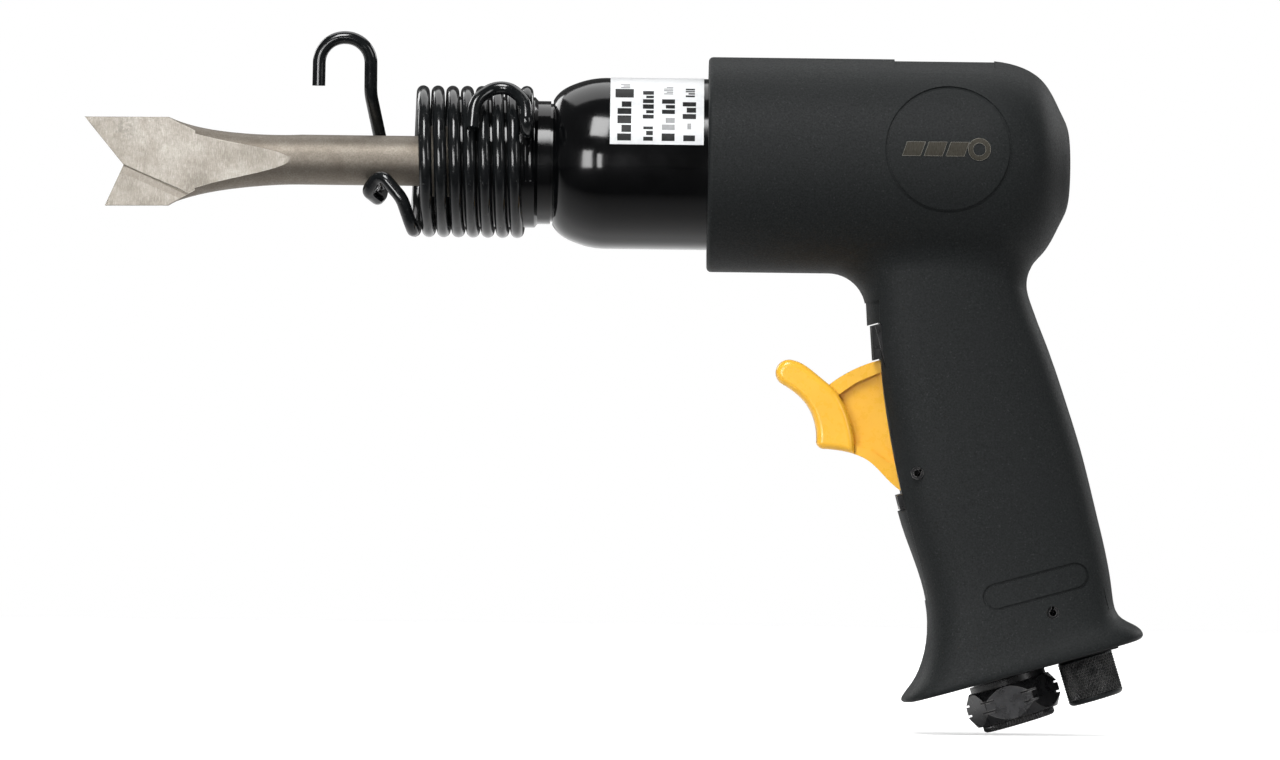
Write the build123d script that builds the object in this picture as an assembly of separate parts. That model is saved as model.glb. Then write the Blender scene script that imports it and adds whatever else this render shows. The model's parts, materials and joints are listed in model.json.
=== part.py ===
"""Pneumatic air hammer with a pistol grip, a coil-spring chisel retainer and a forked panel cutter.

Millimetres. The parts are drawn on the barrel axis: +X runs from the chisel to the back of the
housing, +Y across the tool, +Z up, with x = 0 near the front rim of the housing. On export every
part is shifted so that the origin is the centre of the air inlet's mouth.

The grip leans back. Places inside it are given by a height measured up the grip and a depth
measured from front to back, see grip_point. The inlet and the regulator lean a little more, and
their places are given by a height above the inlet mouth, see air_point.
"""

import os
from math import copysign, cos, hypot, pi, radians, sin

from build123d import *

# Frame
INLET_MOUTH = (75.1, 0.0, -133.1)
GRIP_BASE = (71.7, 0.0, -122.8)
GRIP_TILT = 15.5
AIR_TILT = 17.1

# Housing
HOUSING_RADIUS = 25.8
HOUSING_FRONT = -1.5
HOUSING_BACK = 85.5
HOUSING_BORE = 22.6
RIM_ROUND = 1.1
NECK_BLEND = 9.0
SIDE_LINE_RADIUS = 14.8
SIDE_LINE_CENTRE = (55.8, 3.95)
LINE_WIDTH = 0.7
LINE_DEPTH = 0.35
STRAP_STEP = 1.1
STRAP_HEIGHTS = (12.0, 96.0)
CREASE = (
    (39.9, -24.0),
    (39.95, -32.0),
    (40.7, -49.7),
    (43.0, -65.2),
    (45.7, -77.7),
    (49.0, -89.5),
    (52.6, -104.0),
)
WINDOW_HEIGHTS = (45.8, 90.7)

# Grip cross-sections: front point (x, z), back point (x, z), half width, squareness
GRIP_SECTIONS = (
    ((33.0, -16.0), (73.0, -14.0), 15.6, 3.2),
    ((35.3, -24.0), (74.0, -22.0), 15.8, 3.2),
    ((36.9, -33.5), (76.2, -32.0), 16.0, 3.2),
    ((37.6, -43.0), (80.1, -42.0), 16.2, 3.3),
    ((40.3, -58.0), (84.6, -54.6), 16.5, 3.3),
    ((43.1, -73.5), (88.9, -68.0), 16.7, 3.3),
    ((46.1, -86.0), (92.3, -81.0), 16.8, 3.4),
    ((52.3, -105.2), (96.4, -99.4), 17.3, 3.5),
    ((52.7, -111.0), (97.0, -103.6), 17.8, 3.6),
    ((51.8, -117.6), (98.1, -106.6), 18.4, 3.8),
    ((49.8, -122.8), (100.3, -108.3), 19.0, 4.0),
    ((47.8, -125.7), (103.1, -109.8), 19.6, 4.2),
    ((46.9, -127.2), (104.1, -111.1), 19.8, 4.2),
    ((48.4, -128.3), (102.0, -112.9), 19.0, 4.2),
)

# Barrel
BARREL_RADIUS = 20.5
BARREL_FRONT = -62.0
BARREL_REAR = 52.0
BARREL_THREAD_START = 36.0
BARREL_THREAD_RADIUS = 18.0
PISTON_BORE = 9.5
PISTON_BORE_START = -20.0
SHANK_BORE = 5.15
NECK_RADIUS = 14.75
CREST_RADIUS = 15.65

# Retainer spring
WIRE = 1.55
COIL_RADIUS = 16.65
COIL_PITCH = 3.53
COIL_START = -71.7
COIL_TURNS = 7.5

# Chisel
SHAFT_RADIUS = 6.0
SHANK_RADIUS = 5.08
SHANK_END = -17.0
COLLAR_RADIUS = 8.5
COLLAR_LENGTH = 8.0

# Piston and distributor valve
PISTON_RADIUS = 9.46
PISTON_LENGTH = 28.0
VALVE_RADIUS = 14.9
VALVE_CHAMBER_END = 71.0
VALVE_DISC_THICKNESS = 1.6

# Trigger
TRIGGER_PIVOT = (49.4, -73.35)
PIN_RADIUS = 1.5
SLOT_HALF_WIDTH = 4.6
TRIGGER_OPENING = (49.6, 82.3)
SLOT_HEIGHTS = (47.0, 89.5)
SLOT_BACK = -1.2
WEB_HALF_WIDTH = 4.25
BLADE_HALF_WIDTH = 6.5
BLADE_ROUND = 1.6
POCKET_FLOOR = 2.4
THROTTLE_ARM = 14.0

# Throttle valve: depths along its axis
BUSHING_RADIUS = 5.2
BUSHING_BACK = 8.5
STEM_RADIUS = 2.0
STEM_GAP = 0.35
HEAD_FRONT = 9.6
HEAD_BACK = 12.0
PLUG_FRONT = 20.0
CORE_BACK = 24.5

# Air inlet and regulator: heights above the inlet mouth
INLET_THREAD_RADIUS = 5.72
INLET_THREAD_LENGTH = 12.0
MOUTH_RADIUS = 7.2
HEX_CHAMFER = 2.7
HEX_ACROSS_FLATS = 20.0
HEX_HEIGHTS = (1.7, 9.9)
BUSHING_TOP = 28.0
INLET_BODY_RADIUS = 8.2
REGULATOR_OFFSET = 19.3
REGULATOR_BORE = 5.5
REGULATOR_PIN_HEIGHT = 23.6
REGULATOR_PIN_OFFSET = 14.6

GRIP_UP = (-sin(radians(GRIP_TILT)), 0.0, cos(radians(GRIP_TILT)))
GRIP_BACK = (cos(radians(GRIP_TILT)), 0.0, sin(radians(GRIP_TILT)))
AIR_UP = (-sin(radians(AIR_TILT)), 0.0, cos(radians(AIR_TILT)))
AIR_BACK = (cos(radians(AIR_TILT)), 0.0, sin(radians(AIR_TILT)))
FORWARD_ALIGN = (Align.CENTER, Align.CENTER, Align.MIN)


def grip_point(height, depth, side=0.0):
    """A point in the grip, from a height up the grip and a depth from front to back."""
    base = Vector(*GRIP_BASE)
    return base + Vector(*GRIP_UP) * height + Vector(*GRIP_BACK) * depth + Vector(0, side, 0)


def air_point(height, back=0.0, side=0.0):
    """A point on the air line, from a height above the inlet mouth and a distance behind its axis."""
    mouth = Vector(*INLET_MOUTH)
    return mouth + Vector(*AIR_UP) * height + Vector(*AIR_BACK) * back + Vector(0, side, 0)


def cylinder(start, direction, radius, length):
    """A cylinder that starts at a point and runs along a direction."""
    return Plane(origin=start, z_dir=direction) * Cylinder(radius, length, align=FORWARD_ALIGN)


def rod(start, end, radius, side=0.0, height=0.0):
    """A cylinder along X between two places on the barrel axis, or beside it."""
    return cylinder((start, side, height), (1, 0, 0), radius, end - start)


def ring(start, end, outer, inner):
    """A tube along X between two places on the barrel axis."""
    return rod(start, end, outer) - rod(start - 1, end + 1, inner)


def turned(outline):
    """A solid of revolution about the barrel axis from (x, radius) points."""
    profile = make_face(Polyline(*[(x, 0, radius) for x, radius in outline], close=True))
    return revolve(profile, axis=Axis.X)


def side_plate(outline, half_width):
    """A plate across the tool from a closed (x, z) outline."""
    return extrude(make_face(outline), amount=half_width, dir=(0, 1, 0), both=True)


def flat_points(points):
    """Points (x, z) of a side view as points in space."""
    return [(x, 0, z) for x, z in points]


def grip_block(heights, depths, half_width):
    """A rectangular block lined up with the grip."""
    size = (depths[1] - depths[0], 2 * half_width, heights[1] - heights[0])
    middle = grip_point(sum(heights) / 2, sum(depths) / 2)
    return Plane(origin=middle, x_dir=GRIP_BACK, z_dir=GRIP_UP) * Box(*size)


def roll_pin(centre, radius, length, slot_angle):
    """A slotted spring pin across the tool, hollow at both ends and solid in the middle third."""
    pin = cylinder((centre[0], -length / 2, centre[1]), (0, 1, 0), radius, length)
    slot = Pos(radius, 0, 0) * Box(2 * radius, length + 2, radius * 0.4)
    hollow = cylinder((0, -length, 0), (0, 1, 0), radius * 0.55, 2 * length) + slot
    hollow -= Box(6 * radius, length / 3, 6 * radius)
    return pin - Pos(centre[0], 0, centre[1]) * Rot(0, slot_angle, 0) * hollow


def section_plane(front, back):
    """The plane across the grip that holds a front point and a back point of its side view."""
    along = Vector(back[0] - front[0], 0, back[1] - front[1]).normalized()
    return Plane(origin=(front[0], 0, front[1]), x_dir=along, z_dir=along.cross(Vector(0, 1, 0)))


def grip_section(front, back, half_width, squareness, setback=0.0):
    """One cross-section of the grip: a rounded rectangle drawn as a superellipse."""
    half_depth = hypot(back[0] - front[0], back[1] - front[1]) / 2
    count = 20
    points = []
    for number in range(count):
        angle = 2 * pi * (number + 0.5) / count
        across = copysign(abs(cos(angle)) ** (2 / squareness), cos(angle))
        side = copysign(abs(sin(angle)) ** (2 / squareness), sin(angle))
        points.append((half_depth + (half_depth - setback) * across, half_width * side))
    return section_plane(front, back) * make_face(Spline(*points, periodic=True))


def grip_form(inset=0.0, setback=0.0):
    """The outer form of the grip, with its flared foot, or the same form drawn in at the sides."""
    return loft(
        [
            grip_section(front, back, half_width - inset, squareness, setback)
            for front, back, half_width, squareness in GRIP_SECTIONS
        ]
    )


def body_form(inset=0.0):
    """The round outer form of the housing, with its domed back, or the same form a little smaller."""
    dome_start = 60.0
    radius = HOUSING_RADIUS - inset
    back = HOUSING_BACK - inset
    profile = (
        Line((HOUSING_FRONT, 0), (HOUSING_FRONT, radius))
        + Line((HOUSING_FRONT, radius), (dome_start, radius))
        + Spline(
            (dome_start, radius),
            (71.0, 25.0 - inset),
            (78.4 - 0.6 * inset, 21.2 - 0.8 * inset),
            (83.0 - 0.9 * inset, 13.6 - 0.4 * inset),
            (back, 0),
            tangents=[(1, 0), (0, -1)],
        )
        + Line((back, 0), (HOUSING_FRONT, 0))
    )
    return revolve(Plane.XZ * make_face(profile), axis=Axis.X)


def head_form(gap):
    """The core's head inside the housing, grown by a gap."""
    return turned(
        [
            (36.0 - gap, 0),
            (36.0 - gap, 22.5 + gap),
            (66.0, 22.5 + gap),
            (79.0 + gap, 13.0 + gap),
            (79.0 + gap, 0),
        ]
    )


def handle_form(gap):
    """The core's handle inside the grip, grown by a gap."""
    neck = grip_block((80.0, 104.0), (-4.0 - gap, CORE_BACK + gap), 12.2 + gap)
    upper = grip_block((30.0, 90.3 + gap), (-9.0 - gap, CORE_BACK + gap), 12.2 + gap)
    lower = grip_block((0.9 - gap, 34.0 + gap), (-9.6 - gap, 27.6 + gap), 12.2 + gap)
    low, high = WINDOW_HEIGHTS
    rib_outline = [
        (low + 0.25 - gap, -4.0),
        (low + 0.25 - gap, -14.4),
        (56.0, -14.3),
        (70.0, -13.2),
        (82.0, -11.5),
        (high - 0.25 + gap, -9.8),
        (high - 0.25 + gap, -4.0),
    ]
    corners = [grip_point(height, depth) for height, depth in rib_outline]
    rib = side_plate(Polyline(*corners, close=True), 10.6 + gap)
    return neck + upper + lower + rib


def pill_line():
    """The engraved long outline on both sides of the lower grip, as a cutter."""
    pill = SlotOverall(26.0, 6.6) - SlotOverall(26.0 - 2 * LINE_WIDTH, 6.6 - 2 * LINE_WIDTH)
    across = Plane(origin=(78.0, -40.0, -100.1), x_dir=GRIP_BACK, z_dir=(0, 1, 0))
    return across * extrude(pill, amount=80.0) - grip_form(LINE_DEPTH, LINE_DEPTH)


def side_circle():
    """The engraved round line on both sides of the housing, as a cutter."""
    x, z = SIDE_LINE_CENTRE
    outer = cylinder((x, -40, z), (0, 1, 0), SIDE_LINE_RADIUS + LINE_WIDTH / 2, 80)
    inner = cylinder((x, -40, z), (0, 1, 0), SIDE_LINE_RADIUS - LINE_WIDTH / 2, 80)
    return outer - inner - body_form(LINE_DEPTH)


def placed(shape):
    """A shape shifted so that the origin is the centre of the inlet's mouth."""
    return Pos(*(-Vector(*INLET_MOUTH))) * shape


def housing():
    """The moulded outer housing and grip, already shifted to its place."""
    body = placed(body_form())
    grip = placed(grip_form())
    shell = body + grip
    shell = fillet(new_edges(body, grip, combined=shell), NECK_BLEND)
    rim = shell.edges().filter_by(GeomType.CIRCLE).sort_by(Axis.X)[0]
    shell = fillet(rim, RIM_ROUND)
    top_patch = Pos(55.0, 0, 26.0) * Box(24.0, 26.0, 8.0) - rod(30, 80, HOUSING_RADIUS - 0.45)
    strap = strap_region() & grip_block(STRAP_HEIGHTS, (-40.0, 4.0), 30.0)
    cutters = [
        strap - grip_form(STRAP_STEP, STRAP_STEP / 6),
        rod(HOUSING_FRONT - 1, 37.0, HOUSING_BORE),
        head_form(0.2),
        handle_form(0.2),
        grip_block((-6.0, 3.0), (-9.8, 27.8), 12.4),
        grip_block(WINDOW_HEIGHTS, (-30.0, -4.0), 13.4) & strap_region(),
        fillet(top_patch.edges().filter_by(Axis.Z), 3.0),
        side_circle(),
        pill_line(),
    ]
    for x, z in (TRIGGER_PIVOT, regulator_pin_centre()):
        cutters.append(cylinder((x, -40, z), (0, 1, 0), PIN_RADIUS + 0.02, 80))
    for cutter in cutters:
        shell -= placed(cutter)
    return shell


def strap_region():
    """Everything in front of the crease that runs down the side of the grip."""
    top, bottom = CREASE[0], CREASE[-1]
    around = Polyline(*flat_points([bottom, (20.0, bottom[1]), (20.0, top[1]), top]))
    return side_plate(Spline(*flat_points(CREASE)) + around, 30.0)


def regulator_pin_centre():
    """Where the regulator's retaining pin crosses the side view."""
    centre = air_point(REGULATOR_PIN_HEIGHT, REGULATOR_PIN_OFFSET)
    return (centre.X, centre.Z)


def side_badges():
    """Two raised marks, a ring and three bars, one inside each round line."""
    x, z = SIDE_LINE_CENTRE
    marks = Pos(7.2, 0) * (Circle(2.7) - Circle(1.5))
    for number in range(3):
        bar = Polygon((0, -1.7), (4.4, -1.7), (5.6, 1.7), (1.2, 1.7), align=None)
        marks += Pos(-11.2 + 5.2 * number, 0) * bar
    cutter = extrude(marks, amount=40.0)
    sides = Plane(origin=(x, 0, z), x_dir=(1, 0, 0), z_dir=(0, -1, 0)) * cutter
    sides += Plane(origin=(x, 0, z), x_dir=(1, 0, 0), z_dir=(0, 1, 0)) * cutter
    return sides & ring(40.0, 70.0, HOUSING_RADIUS + 0.2, HOUSING_RADIUS + 0.01)


def handle_core():
    """The metal core: a cup for the barrel and valve, and the handle with its air passages."""
    core = head_form(0) + handle_form(0)
    core -= rod(30.0, BARREL_REAR + 0.1, BARREL_THREAD_RADIUS + 0.12)
    core -= rod(BARREL_REAR, VALVE_CHAMBER_END, VALVE_RADIUS + 0.1)
    low, high = SLOT_HEIGHTS
    core -= grip_block((low, high), (-30.0, SLOT_BACK), SLOT_HALF_WIDTH)
    core -= grip_block(TRIGGER_OPENING, (-30.0, -4.0), 14.0) & strap_region()
    throttle_height = throttle_axis_height()
    core -= cylinder(grip_point(throttle_height, -3.0), GRIP_BACK, BUSHING_RADIUS + 0.05, 40.0)
    core -= cylinder(grip_point(throttle_height, 6.0), GRIP_UP, 2.8, 40.0)
    core -= cylinder(air_point(-5.0), AIR_UP, INLET_BODY_RADIUS + 0.05, BUSHING_TOP + 5.2)
    core -= cylinder(air_point(20.0), AIR_UP, 6.0, 16.0)
    core -= cylinder(air_point(-5.0), AIR_UP, 9.4, 5.0 + 11.4)
    core -= cylinder(air_point(-5.0, REGULATOR_OFFSET), AIR_UP, REGULATOR_BORE, 41.0)
    core -= cylinder(air_point(-5.0, REGULATOR_OFFSET), AIR_UP, 6.95, 5.0 + 11.6)
    core -= cylinder(air_point(33.0), AIR_BACK, 3.0, REGULATOR_OFFSET)
    core -= cylinder(air_point(30.0, REGULATOR_OFFSET), AIR_UP, 2.8, 50.0)
    for (x, z), radius in ((TRIGGER_PIVOT, PIN_RADIUS), (regulator_pin_centre(), PIN_RADIUS)):
        core -= cylinder((x, -40, z), (0, 1, 0), radius + 0.02, 80)
    return core


def throttle_axis_height():
    """How far up the grip the throttle valve's axis lies."""
    pivot = Vector(TRIGGER_PIVOT[0], 0, TRIGGER_PIVOT[1]) - Vector(*GRIP_BASE)
    return pivot.dot(Vector(*GRIP_UP)) + THROTTLE_ARM


def heel_depth():
    """The depth in the grip of the trigger's heel, which is level with its pivot."""
    pivot = Vector(TRIGGER_PIVOT[0], 0, TRIGGER_PIVOT[1]) - Vector(*GRIP_BASE)
    return pivot.dot(Vector(*GRIP_BACK))


def barrel():
    """The cylinder: threaded nose, shoulder, piston bore and exhaust ports."""
    shoulder = (
        Line((BARREL_FRONT, 0), (BARREL_FRONT, CREST_RADIUS - 0.8))
        + Line((BARREL_FRONT, CREST_RADIUS - 0.8), (BARREL_FRONT + 0.8, CREST_RADIUS))
        + Line((BARREL_FRONT + 0.8, CREST_RADIUS), (-43.0, CREST_RADIUS))
        + Line((-43.0, CREST_RADIUS), (-42.2, NECK_RADIUS))
        + Line((-42.2, NECK_RADIUS), (-39.2, NECK_RADIUS))
        + Line((-39.2, NECK_RADIUS), (-39.2, NECK_RADIUS - 0.6))
        + Line((-39.2, NECK_RADIUS - 0.6), (-38.6, NECK_RADIUS - 0.6))
        + Line((-38.6, NECK_RADIUS - 0.6), (-38.6, NECK_RADIUS + 0.2))
        + Spline(
            (-38.6, NECK_RADIUS + 0.2),
            (-33.4, 19.0),
            (-25.5, BARREL_RADIUS),
            tangents=[(0.5, 1), (1, 0)],
        )
        + Line((-25.5, BARREL_RADIUS), (34.0, BARREL_RADIUS))
        + Line((34.0, BARREL_RADIUS), (34.0, 17.0))
        + Line((34.0, 17.0), (BARREL_THREAD_START, 17.0))
        + Line((BARREL_THREAD_START, 17.0), (BARREL_THREAD_START, BARREL_THREAD_RADIUS))
        + Line((BARREL_THREAD_START, BARREL_THREAD_RADIUS), (BARREL_REAR, BARREL_THREAD_RADIUS))
        + Line((BARREL_REAR, BARREL_THREAD_RADIUS), (BARREL_REAR, 0))
        + Line((BARREL_REAR, 0), (BARREL_FRONT, 0))
    )
    tube = revolve(Plane.XZ * make_face(shoulder), axis=Axis.X)
    tube -= rod(BARREL_FRONT - 1, PISTON_BORE_START + 1, SHANK_BORE)
    tube -= rod(PISTON_BORE_START, BARREL_REAR + 1, PISTON_BORE)
    for angle in range(0, 360, 60):
        direction = (0, cos(radians(angle)), sin(radians(angle)))
        tube -= cylinder((22.0, 0, 0), direction, 2.0, 30.0)
    return tube - thread_groove()


def coil_helix(start, turns, radius):
    """A right-hand helix about the barrel axis that starts at the bottom of the coil."""
    helix = Helix(pitch=COIL_PITCH, height=COIL_PITCH * turns, radius=radius)
    upright = Plane(origin=(start, 0, 0), x_dir=(0, 0, -1), z_dir=(1, 0, 0))
    return upright * helix


def swept_wire(path, radius):
    """A round wire along a path."""
    start = path @ 0
    return sweep(Plane(origin=start, z_dir=path % 0) * Circle(radius), path=path, is_frenet=True)


def thread_groove():
    """The round helical groove that the retainer spring is screwed into."""
    free_turns = 2
    run_out = 0.3
    start = COIL_START + free_turns * COIL_PITCH
    helix = coil_helix(start, COIL_TURNS - free_turns + run_out, COIL_RADIUS)
    return swept_wire(helix, WIRE + 0.08)


def retainer_spring():
    """The coil with its front hook round the chisel and its finger loop at the back."""
    helix = coil_helix(COIL_START, COIL_TURNS, COIL_RADIUS)
    coil = swept_wire(helix, WIRE)
    hook_points = [
        helix @ 0,
        helix @ 0 - (helix % 0) * 7.6,
        (-74.6, -9.9, -9.2),
        (-79.9, -8.2, -3.0),
        (-82.9, -5.6, -7.4),
        (-80.6, -0.4, -9.2),
        (-79.6, 8.4, -7.6),
        (-79.9, 8.8, 3.5),
        (-82.6, 2.0, 16.0),
        (-82.6, 0.0, 29.4),
        (-94.95, 0.0, 29.4),
        (-95.05, 0.0, 17.8),
    ]
    hook_bends = [4.0, 5.0, 2.3, 2.2, 3.0, 4.5, 5.0, 8.0, 6.1, 6.1]
    loop_points = [
        helix @ 1,
        helix @ 1 + (helix % 1) * 9.6,
        (-44.6, -16.6, 6.6),
        (-44.9, -21.3, 8.4),
        (-45.2, -17.6, 14.4),
        (-50.9, -12.8, 18.8),
        (-57.4, -17.0, 14.4),
        (-57.9, -19.7, 7.6),
    ]
    loop_bends = [7.0, 2.2, 2.2, 7.5, 4.4, 7.0]
    hook = swept_wire(FilletPolyline(*hook_points, radius=hook_bends), WIRE)
    loop = swept_wire(FilletPolyline(*loop_points, radius=loop_bends), WIRE)
    return coil + hook + loop


def chisel():
    """A forked panel cutter: shank, collar, shaft and a wedge-ground blade with a V notch."""
    rear = rod(BARREL_FRONT - 1.0, SHANK_END, SHANK_RADIUS)
    rear += rod(BARREL_FRONT - 0.2 - COLLAR_LENGTH, BARREL_FRONT - 0.2, COLLAR_RADIUS)
    shaft_front = -99.0
    shaft = rod(shaft_front, BARREL_FRONT - 4.0, SHAFT_RADIUS)
    flare = loft(
        [
            Plane(origin=(x, 0, (top + bottom) / 2), x_dir=(0, 1, 0), z_dir=(-1, 0, 0))
            * Ellipse(SHAFT_RADIUS, (top - bottom) / 2)
            for x, top, bottom in (
                (shaft_front, 6.0, -6.0),
                (-108.0, 5.9, -6.4),
                (-116.0, 6.4, -7.3),
                (-123.0, 7.4, -8.6),
                (-131.0, 9.9, -11.3),
            )
        ]
    )
    blade_outline = Polyline(
        *flat_points(
            [
                (-124.5, 6.6),
                (-130.9, 9.8),
                (-151.1, 9.7),
                (-141.6, -1.8),
                (-146.0, -11.6),
                (-130.9, -11.4),
                (-124.5, -7.8),
            ]
        ),
        close=True,
    )
    blade = side_plate(blade_outline, SHAFT_RADIUS)
    tool = rear + shaft + flare + blade
    for side in (-1, 1):
        tool -= ground_plane(side)
        tool -= prong_bevel(side)
    return tool


def ground_plane(side):
    """The stock that grinding takes off one face, from a point on the shaft out to the tips."""
    slope = 5.7
    start = (-101.8, side * SHAFT_RADIUS, 0)
    cutter = Box(80.0, 10.0, 40.0, align=(Align.MAX, Align.MIN, Align.CENTER))
    if side < 0:
        cutter = mirror(cutter, about=Plane.XZ)
    return Pos(*start) * Rot(0, 0, side * slope) * cutter


def prong_bevel(side):
    """The extra bevel on the lower prong, below the ridge that runs back from the notch."""
    corners = [(-141.6, -1.8), (-124.0, -9.4), (-124.0, -20.0), (-156.0, -20.0), (-156.0, 4.4)]
    bevel = extrude(make_face(Polyline(*flat_points(corners), close=True)), amount=12.0, dir=(0, 1, 0))
    ridge = Vector(-124.0 + 141.6, 0, -9.4 + 1.8)
    tilt_axis = Axis(origin=(0, 0, 0), direction=ridge)
    bevel = Pos(141.6, 0, 1.8) * bevel
    bevel = Rot(0, 0, 5.7) * bevel
    bevel = bevel.rotate(tilt_axis, 9.0)
    bevel = Pos(-141.6, SHAFT_RADIUS - 39.8 * 0.0998 - 0.3, -1.8) * bevel
    return bevel if side > 0 else mirror(bevel, about=Plane.XZ)


def piston():
    """The steel hammer piston, in its forward place against the chisel's shank."""
    start = SHANK_END + 0.3
    body = rod(start, start + PISTON_LENGTH, PISTON_RADIUS)
    body = chamfer(body.edges().filter_by(GeomType.CIRCLE), 0.8)
    groove = ring(start + 17.0, start + 18.2, PISTON_RADIUS + 1, PISTON_RADIUS - 0.7)
    return body - groove - rod(start + 20.0, start + PISTON_LENGTH + 1, 4.0)


def valve_front_case():
    """The plate between the barrel and the valve, with its ports."""
    plate = rod(BARREL_REAR + 0.1, 58.0, VALVE_RADIUS) - rod(50.0, 60.0, 3.0)
    for angle in range(30, 390, 60):
        across = 6.2 * cos(radians(angle))
        up = 6.2 * sin(radians(angle))
        plate -= rod(50.0, 60.0, 1.1, across, up)
    return plate - rod(53.0, 60.0, 1.0, 12.0)


def valve_rear_case():
    """The cup behind the valve plate, which feeds it with air."""
    case = rod(58.0, 68.0, VALVE_RADIUS) - rod(57.0, 60.8, 8.8) - rod(57.0, 70.0, 2.6)
    case -= cylinder((64.0, 0, 0), (0, 0, -1), 2.6, 20.0)
    return case - rod(57.0, 67.0, 1.0, 12.0)


def valve_disc():
    """The shuttle plate of the distributor valve."""
    disc = rod(58.1, 58.1 + VALVE_DISC_THICKNESS, 8.4) - rod(57.0, 62.0, 1.5)
    return disc


def trigger_outline():
    """The side view of the whole trigger: finger blade, web and hub."""
    x, z = TRIGGER_PIVOT
    heel_top = Vector(x, 0, z) + Vector(*GRIP_UP) * 28.3
    return (
        Spline(
            *flat_points([(19.5, -46.7), (24.2, -49.2), (28.3, -52.5)]),
            tangents=[(0.97, 0, -0.2), (0.78, 0, -0.62)],
        )
        + ThreePointArc((28.3, 0, -52.5), (33.9, 0, -48.9), tuple(heel_top))
        + Line(tuple(heel_top), (x, 0, z))
        + Line((x, 0, z), (49.4, 0, -77.5))
        + Line((49.4, 0, -77.5), (45.6, 0, -77.6))
        + Spline(
            *flat_points([(45.6, -77.6), (41.4, -73.8), (37.9, -70.6), (34.0, -68.9), (27.2, -67.9)])
        )
        + ThreePointArc((27.2, 0, -67.9), (26.0, 0, -67.5), (25.4, 0, -66.5))
        + Spline(
            *flat_points([(25.4, -66.5), (24.9, -61.6), (23.3, -57.9), (20.6, -54.9), (17.2, -52.6)])
        )
        + ThreePointArc((17.2, 0, -52.6), (15.5, 0, -49.3), (19.5, 0, -46.7))
    )


def blade_region():
    """The stretch of the trigger that is the wide finger blade."""
    upper, lower = (28.3, -52.5), (34.4, -69.6)
    edge = Spline(*flat_points([upper, (31.3, -56.2), (33.3, -60.9), (34.4, -66.0), lower]))
    far_corners = [(34.4, -80.0), (8.0, -80.0), (8.0, -40.0), (28.3, -40.0)]
    around = Polyline(*flat_points([lower, *far_corners, upper]))
    return side_plate(edge + around, 20.0)


def trigger_pocket():
    """The outline of the hollow in each side of the trigger's web, running in under the blade."""
    corners = [
        (29.8, -55.4),
        (34.7, -51.9),
        (40.0, -49.6),
        (43.0, -49.4),
        (46.0, -64.5),
        (44.6, -70.6),
        (42.9, -71.0),
        (40.7, -69.6),
        (38.2, -68.0),
        (34.4, -66.8),
        (31.5, -66.5),
    ]
    return Polyline(*flat_points(corners), close=True)


def trigger():
    """The moulded trigger, pivoted on its pin: a ribbed web, and a rounded finger blade."""
    x, z = TRIGGER_PIVOT
    whole = make_face(trigger_outline())
    web = extrude(whole, amount=WEB_HALF_WIDTH, dir=(0, 1, 0), both=True)
    web += cylinder((x, -WEB_HALF_WIDTH, z), (0, 1, 0), 4.1, 2 * WEB_HALF_WIDTH)
    web -= side_plate(trigger_pocket(), 20.0) - side_plate(trigger_pocket(), POCKET_FLOOR)
    blade = extrude(whole, amount=BLADE_HALF_WIDTH, dir=(0, 1, 0), both=True) & blade_region()
    rims = blade.faces().filter_by(Axis.Y).edges()
    blade = fillet(rims, BLADE_ROUND)
    return web + blade - cylinder((x, -20, z), (0, 1, 0), PIN_RADIUS + 0.05, 40)


def throttle_rod(front, back, radius):
    """A cylinder on the throttle valve's axis."""
    return cylinder(grip_point(throttle_axis_height(), front), GRIP_BACK, radius, back - front)


def throttle_bushing():
    """The sleeve that guides the throttle stem and carries the valve seat."""
    sleeve = throttle_rod(SLOT_BACK, BUSHING_BACK, BUSHING_RADIUS)
    sleeve -= throttle_rod(SLOT_BACK - 1, BUSHING_BACK + 1, STEM_RADIUS + 0.06)
    sleeve -= throttle_rod(4.0, BUSHING_BACK + 1, 3.4)
    sleeve -= throttle_rod(0.6, 2.0, 3.3)
    feed = cylinder(grip_point(throttle_axis_height(), 6.0), GRIP_UP, 1.6, 10.0)
    return sleeve - feed


def throttle_stem():
    """The throttle's push stem with its valve head and spring guide."""
    stem = throttle_rod(heel_depth() + STEM_GAP, HEAD_BACK, STEM_RADIUS)
    stem = fillet(stem.edges().filter_by(GeomType.CIRCLE).sort_by(Axis.X)[0], 1.0)
    stem += throttle_rod(HEAD_FRONT, HEAD_BACK, 4.4)
    return stem + throttle_rod(HEAD_BACK, 15.2, 1.8)


def throttle_spring():
    """The spring that closes the throttle valve."""
    turns = 4
    height = PLUG_FRONT - HEAD_BACK - 1.0
    helix = Helix(pitch=height / turns, height=height, radius=3.3)
    base = Plane(origin=grip_point(throttle_axis_height(), HEAD_BACK + 0.5), z_dir=GRIP_BACK)
    return swept_wire(base * helix, 0.35)


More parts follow.
